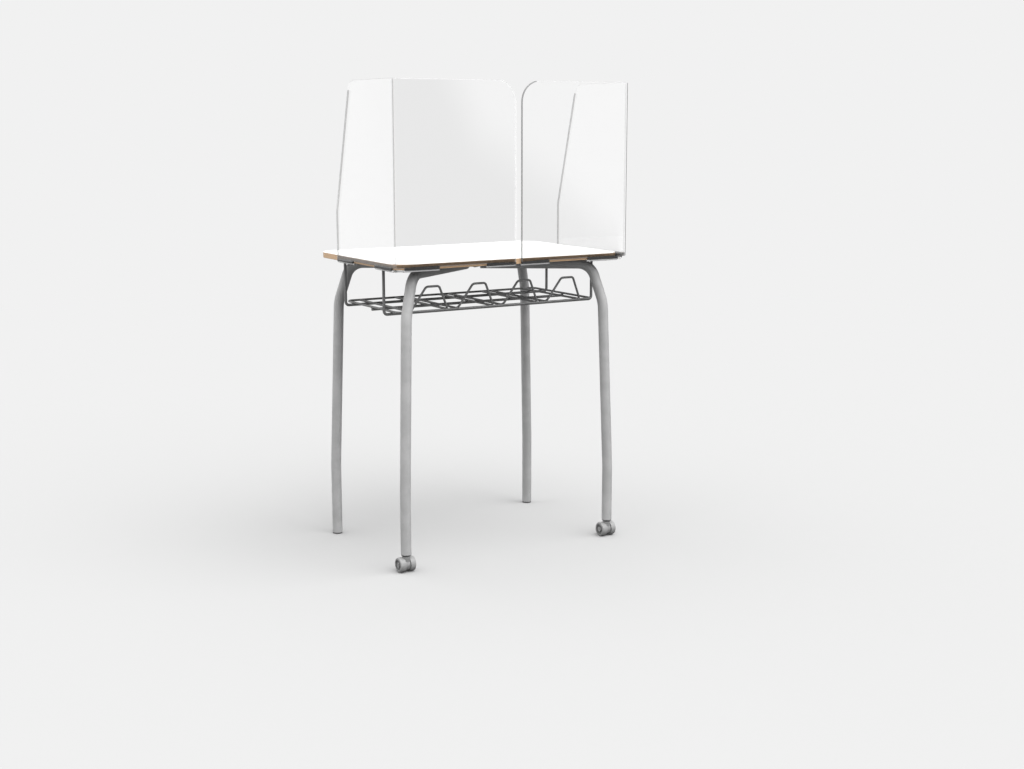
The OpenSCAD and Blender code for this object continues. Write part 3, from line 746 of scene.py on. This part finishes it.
for side, word in SIDES:
    bm = screen_sheet(side)
    for f in bm.faces:
        c = f.calc_center_median()
        if c.z < SHEET_LOW:
            f.material_index = tab_index(c.z)
            continue
        # the middle of each corner bend is painted shade, its sides a soft painted highlight
        if c.x > BEND_X + 0.01 * MM and c.y > BEND_Y + 0.01 * MM:
            slant = math.degrees(math.atan2(c.y - BEND_Y, c.x - BEND_X))
            f.material_index = BEND_MID[side] if abs(slant - 45) < BEND_DARK[side] else BEND_SIDE
    made = bmesh.ops.inset_region(bm, faces=bm.faces[:], thickness=BORDER, use_boundary=True,
                                  use_even_offset=True)
    for f in made["faces"]:
        c = f.calc_center_median()
        f.material_index = SOFT if c.z > SHEET_LOW else tab_index(c.z)
        # the free edge of each back panel: painted shade on the left screen, a painted highlight on
        # the right
        if c.z > TOP_Z + BORDER and c.y > BEND_Y and c.x < FREE[side] + PANEL_R * 0.8 \
                and (c.z < SCREEN_TOP - BORDER or c.x < FREE[side] + PANEL_R * 0.5):
            f.material_index = DARK if side == LEFT else BRIGHT
        # the wing's front edge: a painted shade line
        if c.z > TOP_Z + BORDER and c.y < WING_TOP_FRONT + WING_R * 0.3 \
                and c.z < SCREEN_TOP - WING_R * 0.8:
            f.material_index = WING
    # the cut rims take the painted rim bands, four materials further on
    bm = settled(bm, [
        ("SOLIDIFY", {"thickness": SHEET, "offset": 0.0, "use_even_offset": True,
                      "material_offset_rim": 4}),
        ("BEVEL", {"width": 0.7 * MM, "segments": 2, "limit_method": "ANGLE",
                   "angle_limit": math.radians(50)}),
    ])
    bmesh.ops.transform(bm, matrix=Matrix.Scale(side, 4, (1, 0, 0)), verts=bm.verts)
    piece(f"screen_sheet_{word}", bm, "carrel", "clear_sheet", screen_materials,
          f"screen_{word}", sharp=25)

# ---------------------------------------------------------------- screws

HEAD_R, HEAD_H, SHANK_R = 4.6 * MM, 2.6 * MM, 2.2 * MM


def screw_pattern():
    """Pan head with a cross recess, head down, its seat at z = 0."""
    bm = bmesh.new()
    rim = 0.5 * MM
    profile = [(0, -HEAD_H), (1.8 * MM, -HEAD_H * 0.985), (3.0 * MM, -HEAD_H * 0.92),
               (3.9 * MM, -HEAD_H * 0.75), (4.4 * MM, -HEAD_H * 0.48), (HEAD_R, -rim),
               (HEAD_R, 0), (0, 0)]
    lathe(bm, profile, Vector(), (0, 0, 1), 28)
    bmesh.ops.recalc_face_normals(bm, faces=bm.faces)
    cutter = bmesh.new()
    arm, half = 2.6 * MM, 0.62 * MM
    top, deep = -HEAD_H - 1 * MM, -HEAD_H + 1.5 * MM
    cross = [(arm, -half), (arm, half), (half, half), (half, arm), (-half, arm), (-half, half),
             (-arm, half), (-arm, -half), (-half, -half), (-half, -arm), (half, -arm),
             (half, -half)]
    a = [cutter.verts.new((x, y, top)) for x, y in cross]
    b = [cutter.verts.new((x * 0.55, y * 0.7, deep)) for x, y in cross]
    for k in range(12):
        j = (k + 1) % 12
        cutter.faces.new((a[k], a[j], b[j], b[k]))
    cutter.faces.new(a[::-1])
    cutter.faces.new(b)
    bmesh.ops.recalc_face_normals(cutter, faces=cutter.faces)
    mesh = bpy.data.meshes.new("recess")
    cutter.to_mesh(mesh)
    cutter.free()
    tool = bpy.data.objects.new("recess", mesh)
    bpy.context.collection.objects.link(tool)
    head = settled(bm, [("BOOLEAN", {"object": tool, "operation": "DIFFERENCE",
                                     "solver": "EXACT"})])
    bpy.data.objects.remove(tool)
    bpy.data.meshes.remove(mesh)
    return head


screw_head = screw_pattern()


def screws(name, places, seat_z, tip_z, node):
    bm = bmesh.new()
    for x, y in places:
        turn = Matrix.Rotation(rng.uniform(0, math.tau), 4, "Z")
        copy_into(bm, screw_head, Matrix.Translation((x, y, seat_z)) @ turn)
        shank = [(0, 0), (SHANK_R, 0), (SHANK_R, tip_z - seat_z - 1 * MM), (0, tip_z - seat_z)]
        lathe(bm, shank, Vector((x, y, seat_z)), (0, 0, 1), 20)
    return piece(name, bm, "carrel", "bare_steel", [zinc], node)


TAB_SCREW_HALF = 32 * MM
TAB_SCREW_IN = 22 * MM
SCREW_TIP = TOP_Z - 5 * MM


def screen_screw_places():
    out = []
    for side in (LEFT, RIGHT):
        free = FREE[side]
        for a, b in ((free, free + FREE_TAB), CORNER_TABS):
            for k in (-1, 1):
                out.append((side * ((a + b) / 2 + k * TAB_SCREW_HALF), TOP_BACK - TAB_SCREW_IN))
        for a, b in WING_TABS:
            for k in (-1, 1):
                out.append((side * (TOP_X - TAB_SCREW_IN), (a + b) / 2 + k * TAB_SCREW_HALF))
    return out


screws("screen_screw_heads", screen_screw_places(), UNDER_Z - SHEET, SCREW_TIP, "screen_screws")

# ---------------------------------------------------------------- legs

TUBE_R, BORE_R = 17.5 * MM, 15.5 * MM
FOOT_X, FOOT_BACK, FOOT_FRONT = 403.5 * MM, 270 * MM, -264 * MM
MIDDLE = Vector((0, (FOOT_BACK + FOOT_FRONT) / 2, 0))
PLATE_T, WELD_SINK = 4 * MM, 0.5 * MM
RUN_Z = UNDER_Z - PLATE_T + WELD_SINK - TUBE_R
LOW_BEND_Z, KINK_Z = 254 * MM, 841 * MM
KINK_IN = (KINK_Z - LOW_BEND_Z) * math.tan(math.radians(2.2))
BEND_IN = KINK_IN + (RUN_Z - KINK_Z) * math.tan(math.radians(18.3))
RUN_END = Vector((FOOT_X, (FOOT_BACK - FOOT_FRONT) / 2)).length - 35 * MM
LEG_RADII = [600 * MM, 150 * MM, 60 * MM]
LEG_PLATE_IN, LEG_SCREW_OUT = 165 * MM, 31 * MM
WELD_OUT, WELD_HALF, WELD_R = 7.2 * MM, 14 * MM, 2.2 * MM
WELD_Z = UNDER_Z - PLATE_T - 0.6 * MM
CENTRE_SCREW_X, CENTRE_SCREW_Y = 58 * MM, 37 * MM
CASTER_H, GLIDE_H = 60 * MM, 5 * MM


def leg_frame(side, end):
    """Foot on the floor and the inward direction of one leg."""
    foot = Vector((side * FOOT_X, FOOT_BACK if end == BACK else FOOT_FRONT, 0))
    return foot, (MIDDLE - foot).normalized()


def leg_path(side, end, low):
    foot, d = leg_frame(side, end)
    path = [(0, low), (0, LOW_BEND_Z), (KINK_IN, KINK_Z), (BEND_IN, RUN_Z), (RUN_END, RUN_Z)]
    return bent([foot + d * s + Vector((0, 0, z)) for s, z in path], LEG_RADII, 26)


def tube(bm, path, outer, bore, seg=56):
    """Open tube: an outer and an inner wall joined by rounded lips."""
    first = path[1] - path[0]
    up = first.orthogonal()
    shell = sweep(bm, path, outer, seg, up=up, chamfer=0.4 * MM)
    inner = sweep(bm, path, bore, seg, up=up)
    doomed = [f for f in bm.faces if len(f.verts) == seg]
    bmesh.ops.delete(bm, geom=doomed, context="FACES_ONLY")
    for a, b in ((shell[0], inner[0]), (shell[-1], inner[-1])):
        for k in range(seg):
            j = (k + 1) % seg
            bm.faces.new((a[k], a[j], b[j], b[k]))


def weld_bead(bm, a, b, r, seg=10):
    """Rippled bead from a to b."""
    path = even([Vector(a), Vector(b)], 0.7 * MM)
    last = len(path) - 1

    def size(i):
        ends = min(1.0, (min(i, last - i) + 0.6) / 4)
        return r * ends * (0.9 + 0.16 * abs(math.sin(i * 0.9)) + rng.uniform(-0.03, 0.03))
    sweep(bm, path, size, seg)


leg_screw_places = []
for side, word in SIDES:
    for end, place in ENDS:
        foot, d = leg_frame(side, end)
        across = Vector((-d.y, d.x, 0))
        bm = bmesh.new()
        tube(bm, leg_path(side, end, CASTER_H if end == BACK else GLIDE_H), TUBE_R, BORE_R)
        piece(f"leg_tube_{place}_{word}", bm, "carrel", "grey_paint", [paint],
              f"leg_{place}_{word}")
        bm = bmesh.new()
        seat = foot + d * LEG_PLATE_IN
        turn = Matrix.Translation(seat) @ Matrix.Rotation(math.atan2(d.y, d.x), 4, "Z")
        half_x, half_y = 17 * MM, 41 * MM
        shape = rounded([(-half_x, -half_y), (half_x, -half_y), (half_x, half_y),
                         (-half_x, half_y)], [6 * MM] * 4, 8)
        slab(bm, shape, UNDER_Z - PLATE_T, UNDER_Z, turn, 0.6 * MM)
        for k in (-1, 1):
            c = seat + across * k * WELD_OUT + Vector((0, 0, WELD_Z))
            weld_bead(bm, c - d * WELD_HALF, c + d * WELD_HALF, WELD_R)
            s = seat + across * k * LEG_SCREW_OUT
            leg_screw_places.append((s.x, s.y))
        piece(f"leg_plate_{place}_{word}_plate", bm, "carrel", "grey_paint", [paint],
              f"leg_plate_{place}_{word}")

bm = bmesh.new()
half_x, half_y = 72 * MM, 50 * MM
slab(bm, rounded([(-half_x, MIDDLE.y - half_y), (half_x, MIDDLE.y - half_y),
                  (half_x, MIDDLE.y + half_y), (-half_x, MIDDLE.y + half_y)], [10 * MM] * 4, 8),
     UNDER_Z - PLATE_T, UNDER_Z, arris=0.6 * MM)
for side, word in SIDES:
    for end, place in ENDS:
        foot, d = leg_frame(side, end)
        across = Vector((-d.y, d.x, 0))
        for k in (-1, 1):
            c = foot + across * k * WELD_OUT + Vector((0, 0, WELD_Z))
            weld_bead(bm, c + d * (RUN_END - 42 * MM), c + d * (RUN_END - 4 * MM), WELD_R)
piece("leg_centre_plate", bm, "carrel", "grey_paint", [paint], "centre_plate")
for x, y in ((CENTRE_SCREW_X, 0), (-CENTRE_SCREW_X, 0), (0, CENTRE_SCREW_Y), (0, -CENTRE_SCREW_Y)):
    leg_screw_places.append((x, MIDDLE.y + y))
screws("leg_screw_heads", leg_screw_places, UNDER_Z - PLATE_T, SCREW_TIP, "leg_screws")

# ---------------------------------------------------------------- glides and casters


def soft_profile(points, r):
    """Lathe profile whose inner corners are rounded by r, kept open at both ends."""
    path = bent([(a, 0, b) for a, b in points], [r] * (len(points) - 2), 6)
    return [(p.x, p.z) for p in path]


for side, word in SIDES:
    foot, _ = leg_frame(side, FRONT)
    bm = bmesh.new()
    pad = 16.8 * MM
    lathe(bm, soft_profile([(0, 0), (pad - 1 * MM, 0), (pad, 1 * MM), (pad, GLIDE_H - 0.8 * MM),
                            (pad - 0.5 * MM, GLIDE_H - 0.2 * MM), (BORE_R, GLIDE_H - 0.2 * MM),
                            (BORE_R, GLIDE_H + 20 * MM), (0, GLIDE_H + 20 * MM)], 0.18 * MM),
          foot, (0, 0, 1), 56)
    piece(f"foot_glide_{word}", bm, "carrel", "dark_plastic", [dark_plastic], f"glide_{word}")

WHEEL_R, WHEEL_W, WHEEL_IN = 25 * MM, 19.4 * MM, 9 * MM
HUB_R, RING_R, RING_DEPTH = 9.1 * MM, 17.4 * MM, 3.5 * MM
RING_EDGE = WHEEL_W - 0.5 * MM            # the sunk ring's faces, painted darker as shade in the recess, end just below the outer face
TRAIL = 5 * MM
CAP_R, CAP_T = 7.5 * MM, 1.4 * MM
BODY_TOP = 53.6 * MM
HALF_W = 8.5 * MM


def wheel_profile():
    """Tread, crowned shoulders, sunk ring with a stepped wall, and a raised hub."""
    w, r = WHEEL_W, WHEEL_R
    return soft_profile(
        [(3.05 * MM, 0), (9 * MM, 0), (9.6 * MM, 1.2 * MM), (20 * MM, 1.2 * MM), (20.6 * MM, 0),
         (r - 0.2 * MM, 0), (r, 3 * MM), (r, w - 5.2 * MM), (r - 1.0 * MM, w - 1.4 * MM),
         (r - 4.2 * MM, w), (17.5 * MM, w), (17.1 * MM, w - 3.5 * MM), (9.4 * MM, w - 3.5 * MM),
         (9 * MM, w - 0.2 * MM), (CAP_R, w - 0.2 * MM), (CAP_R, w - CAP_T), (3.05 * MM, w - CAP_T)],
        0.45 * MM)


def caster_body(side):
    """Moulded body between the wheels: a disc, a neck and a round head, melted into one."""
    stem = Vector((side * FOOT_X, FOOT_BACK, 0))
    axle = stem + Vector((0, -TRAIL, WHEEL_R))
    bm = bmesh.new()
    lathe(bm, [(0, -HALF_W), (20.2 * MM, -HALF_W), (21 * MM, -HALF_W + 0.8 * MM),
               (21 * MM, HALF_W - 0.8 * MM), (20.2 * MM, HALF_W), (0, HALF_W)],
          axle, (1, 0, 0), 64)
    lathe(bm, [(0, 30 * MM), (13.2 * MM, 30 * MM), (14 * MM, 50.6 * MM), (14 * MM, 53 * MM),
               (13.4 * MM, BODY_TOP), (0, BODY_TOP)], stem, (0, 0, 1), 64)
    for v in bm.verts:
        if abs(v.co.x - stem.x) > HALF_W and v.co.z < 48 * MM:
            v.co.x = stem.x + math.copysign(HALF_W, v.co.x - stem.x)
    bmesh.ops.recalc_face_normals(bm, faces=bm.faces)
    return settled(bm, [
        ("REMESH", {"mode": "VOXEL", "voxel_size": 0.55 * MM}),
        ("SMOOTH", {"factor": 0.5, "iterations": 6}),
    ])


for side, word in SIDES:
    stem = Vector((side * FOOT_X, FOOT_BACK, 0))
    axle = stem + Vector((0, -TRAIL, WHEEL_R))
    bm = bmesh.new()
    lip, inner = TUBE_R - 1 * MM, 5.5 * MM
    lathe(bm, soft_profile([(inner, 57 * MM), (lip - 0.6 * MM, 57 * MM), (lip, 57.6 * MM),
                            (lip, CASTER_H), (BORE_R, CASTER_H), (BORE_R, 95 * MM),
                            (inner, 95 * MM)], 0.2 * MM), stem, (0, 0, 1), 56, closed=True)
    piece(f"caster_sleeve_{word}", bm, "carrel", "dark_plastic", [dark_plastic],
          f"caster_socket_{word}")
    bm = bmesh.new()
    lathe(bm, soft_profile([(0, 33.5 * MM), (3.6 * MM, 33.5 * MM), (4 * MM, 34 * MM),
                            (4 * MM, 54 * MM), (7.6 * MM, 54 * MM), (8 * MM, 54.4 * MM),
                            (8 * MM, 56.6 * MM), (7.6 * MM, 57 * MM), (5.5 * MM, 57 * MM),
                            (5.5 * MM, 92.4 * MM), (4.9 * MM, 93 * MM), (0, 93 * MM)], 0.12 * MM),
          stem, (0, 0, 1), 48)
    piece(f"caster_pin_{word}", bm, "carrel", "bare_steel", [zinc], f"caster_stem_{word}")
    body = f"{word}_caster"
    piece(f"caster_housing_{word}", caster_body(side), body, "caster_plastic", [body_plastic],
          f"caster_body_{word}", sharp=60)
    bm = bmesh.new()
    reach = WHEEL_IN + WHEEL_W - CAP_T - 0.4 * MM
    lathe(bm, [(0, -reach), (2.6 * MM, -reach), (3 * MM, -reach + 0.4 * MM),
               (3 * MM, reach - 0.4 * MM), (2.6 * MM, reach), (0, reach)], axle, (1, 0, 0), 32)
    piece(f"axle_pin_{word}", bm, body, "bare_steel", [zinc], f"caster_axle_{word}")
    for direction, which in ((side, "outer"), (-side, "inner")):
        out = Vector((direction, 0, 0))
        base = axle + out * WHEEL_IN
        bm = bmesh.new()
        lathe(bm, wheel_profile(), base, out, 72, closed=True)
        for face in bm.faces:
            place = face.calc_center_median() - base
            depth = place.dot(out)
            reach = (place - out * depth).length
            # faces inside the sunk ring get the darker plastic: painted shade in the recess
            if HUB_R < reach < RING_R and WHEEL_W - RING_DEPTH - 0.1 * MM < depth < RING_EDGE:
                face.material_index = 1
        rides = f"{word}_{which}_wheel"
        piece(f"wheel_tyre_{word}_{which}", bm, rides, "wheel_plastic",
              [wheel_plastic, ring_shade_plastic],
              f"wheel_{word}_{which}", sharp=40)
        bm = bmesh.new()
        face = WHEEL_W - 0.25 * MM
        lathe(bm, soft_profile([(0, WHEEL_W - CAP_T), (CAP_R - 0.1 * MM, WHEEL_W - CAP_T),
                                (CAP_R - 0.1 * MM, face), (5.2 * MM, face),
                                (4.6 * MM, face - 0.45 * MM), (2.2 * MM, face - 0.45 * MM),
                                (0, face - 0.1 * MM)], 0.12 * MM), base, out, 48)
        piece(f"hub_cap_{word}_{which}", bm, rides, "cap_steel", [cap_zinc],
              f"wheel_cap_{word}_{which}")

# ---------------------------------------------------------------- basket

FRAME_R, FLOOR_WIRE_R = 4.75 * MM, 3.75 * MM
HANGER_X, FRAME_BACK, FRAME_FRONT = 410 * MM, 150 * MM, -140 * MM
BASKET_Z = 840 * MM
WIRE_Z = BASKET_Z + FRAME_R + FLOOR_WIRE_R
RIM_X, RIM_BACK, RIM_FRONT = 383 * MM, 197 * MM, -190 * MM
RAIL_Y = 8 * MM
TAB_T, TAB_X, TAB_Y, TAB_IN = 2.5 * MM, 18 * MM, 9 * MM, 11 * MM
BASKET_SCREW_IN = 22 * MM
FLOOR_NUGGET = (4.2 * MM, 5.2 * MM, 1.7 * MM)
RIM_NUGGET = (2.8 * MM, 1.6 * MM, 2.4 * MM)
STOP_PITCH, STOP_FOOT, STOP_TOP = 176 * MM, 69 * MM, 24 * MM
STOP_H, STOP_LEAN = 81.5 * MM, 24 * MM
STOP_BENDS = [18 * MM, 13 * MM, 13 * MM, 18 * MM]
STOP_Y = RIM_BACK - 2 * FLOOR_WIRE_R


def nugget(bm, at, size):
    """Small resistance-weld blob where two wires cross."""
    made = bmesh.ops.create_icosphere(bm, subdivisions=2, radius=1.0)["verts"]
    for v in made:
        wobble = 1 + 0.10 * noise.noise(v.co * 2.1 + Vector(at) * 31)
        v.co = Vector(at) + Vector((v.co.x * size[0], v.co.y * size[1], v.co.z * size[2])) * wobble


stop_columns = [(i - 1.5) * STOP_PITCH + k * STOP_FOOT for i in range(4) for k in (-1, 1)]

for end, place in ENDS:
    y = FRAME_BACK if end == BACK else FRAME_FRONT
    top = UNDER_Z - TAB_T
    bm = bmesh.new()
    sweep(bm, even(bent([(HANGER_X, y, top), (HANGER_X, y, BASKET_Z), (-HANGER_X, y, BASKET_Z),
                         (-HANGER_X, y, top)], [12 * MM] * 2, 14), 0.06), FRAME_R, 28,
          up=(0, 1, 0))
    for x in stop_columns + [-RIM_X, RIM_X]:
        nugget(bm, (x, y, BASKET_Z + FRAME_R), FLOOR_NUGGET)
    piece(f"basket_{place}_hanger_wire", bm, "carrel", "wire_coating", [wire],
          f"basket_{place}_frame")

bm = bmesh.new()
sweep(bm, even([Vector((-RIM_X - 2 * MM, RAIL_Y, BASKET_Z)),
                Vector((RIM_X + 2 * MM, RAIL_Y, BASKET_Z))], 0.06), FRAME_R, 28, chamfer=0.8 * MM)
for x in stop_columns + [-RIM_X, RIM_X]:
    nugget(bm, (x, RAIL_Y, BASKET_Z + FRAME_R), FLOOR_NUGGET)
piece("basket_middle_wire", bm, "carrel", "wire_coating", [wire], "basket_middle_rail")

bm = bmesh.new()
ring = bent([(0, RIM_BACK, WIRE_Z), (RIM_X, RIM_BACK, WIRE_Z), (RIM_X, RIM_FRONT, WIRE_Z),
             (-RIM_X, RIM_FRONT, WIRE_Z), (-RIM_X, RIM_BACK, WIRE_Z), (0, RIM_BACK, WIRE_Z)],
            [25 * MM] * 4, 14)
sweep(bm, even(ring, 0.06)[:-1], FLOOR_WIRE_R, 24, closed=True, up=(0, 0, 1))
for x in stop_columns:
    nugget(bm, (x, RIM_FRONT + FLOOR_WIRE_R, WIRE_Z), RIM_NUGGET)
piece("basket_rim_wire", bm, "carrel", "wire_coating", [wire], "basket_rim")

for i in range(4):
    middle = (i - 1.5) * STOP_PITCH
    front_y = RIM_FRONT + FLOOR_WIRE_R
    path = [(middle - STOP_FOOT, front_y, WIRE_Z), (middle - STOP_FOOT, STOP_Y, WIRE_Z),
            (middle - STOP_TOP, STOP_Y + STOP_LEAN, WIRE_Z + STOP_H),
            (middle + STOP_TOP, STOP_Y + STOP_LEAN, WIRE_Z + STOP_H),
            (middle + STOP_FOOT, STOP_Y, WIRE_Z), (middle + STOP_FOOT, front_y, WIRE_Z)]
    bm = bmesh.new()
    sweep(bm, even(bent(path, STOP_BENDS, 14), 0.05), FLOOR_WIRE_R, 24)
    piece(f"basket_book_stop_{i + 1}", bm, "carrel", "wire_coating", [wire],
          f"basket_stop_{i + 1}")

basket_screw_places = []
for side, word in SIDES:
    for end, place in ENDS:
        y = FRAME_BACK if end == BACK else FRAME_FRONT
        x = side * (HANGER_X - TAB_IN)
        bm = bmesh.new()
        shape = rounded([(x - TAB_X, y - TAB_Y), (x + TAB_X, y - TAB_Y),
                         (x + TAB_X, y + TAB_Y), (x - TAB_X, y + TAB_Y)], [4 * MM] * 4, 8)
        slab(bm, shape, UNDER_Z - TAB_T, UNDER_Z, arris=0.4 * MM)
        hanger = Vector((side * HANGER_X, y, UNDER_Z - TAB_T - 0.3 * MM))
        ring = [hanger + Vector((math.cos(math.tau * k / 24), math.sin(math.tau * k / 24), 0))
                * (FRAME_R + 0.3 * MM) for k in range(24)]
        sweep(bm, ring, lambda i: (1.0 + 0.15 * math.sin(i * 2.3)) * MM, 8, closed=True,
              up=(0, 0, 1))
        piece(f"basket_tab_{place}_{word}_plate", bm, "carrel", "wire_coating", [wire],
              f"basket_tab_{place}_{word}")
        basket_screw_places.append((side * (HANGER_X - BASKET_SCREW_IN), y))
screws("basket_screw_heads", basket_screw_places, UNDER_Z - TAB_T, SCREW_TIP, "basket_screws")

# ---------------------------------------------------------------- bounds of the shown pieces

low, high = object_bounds()
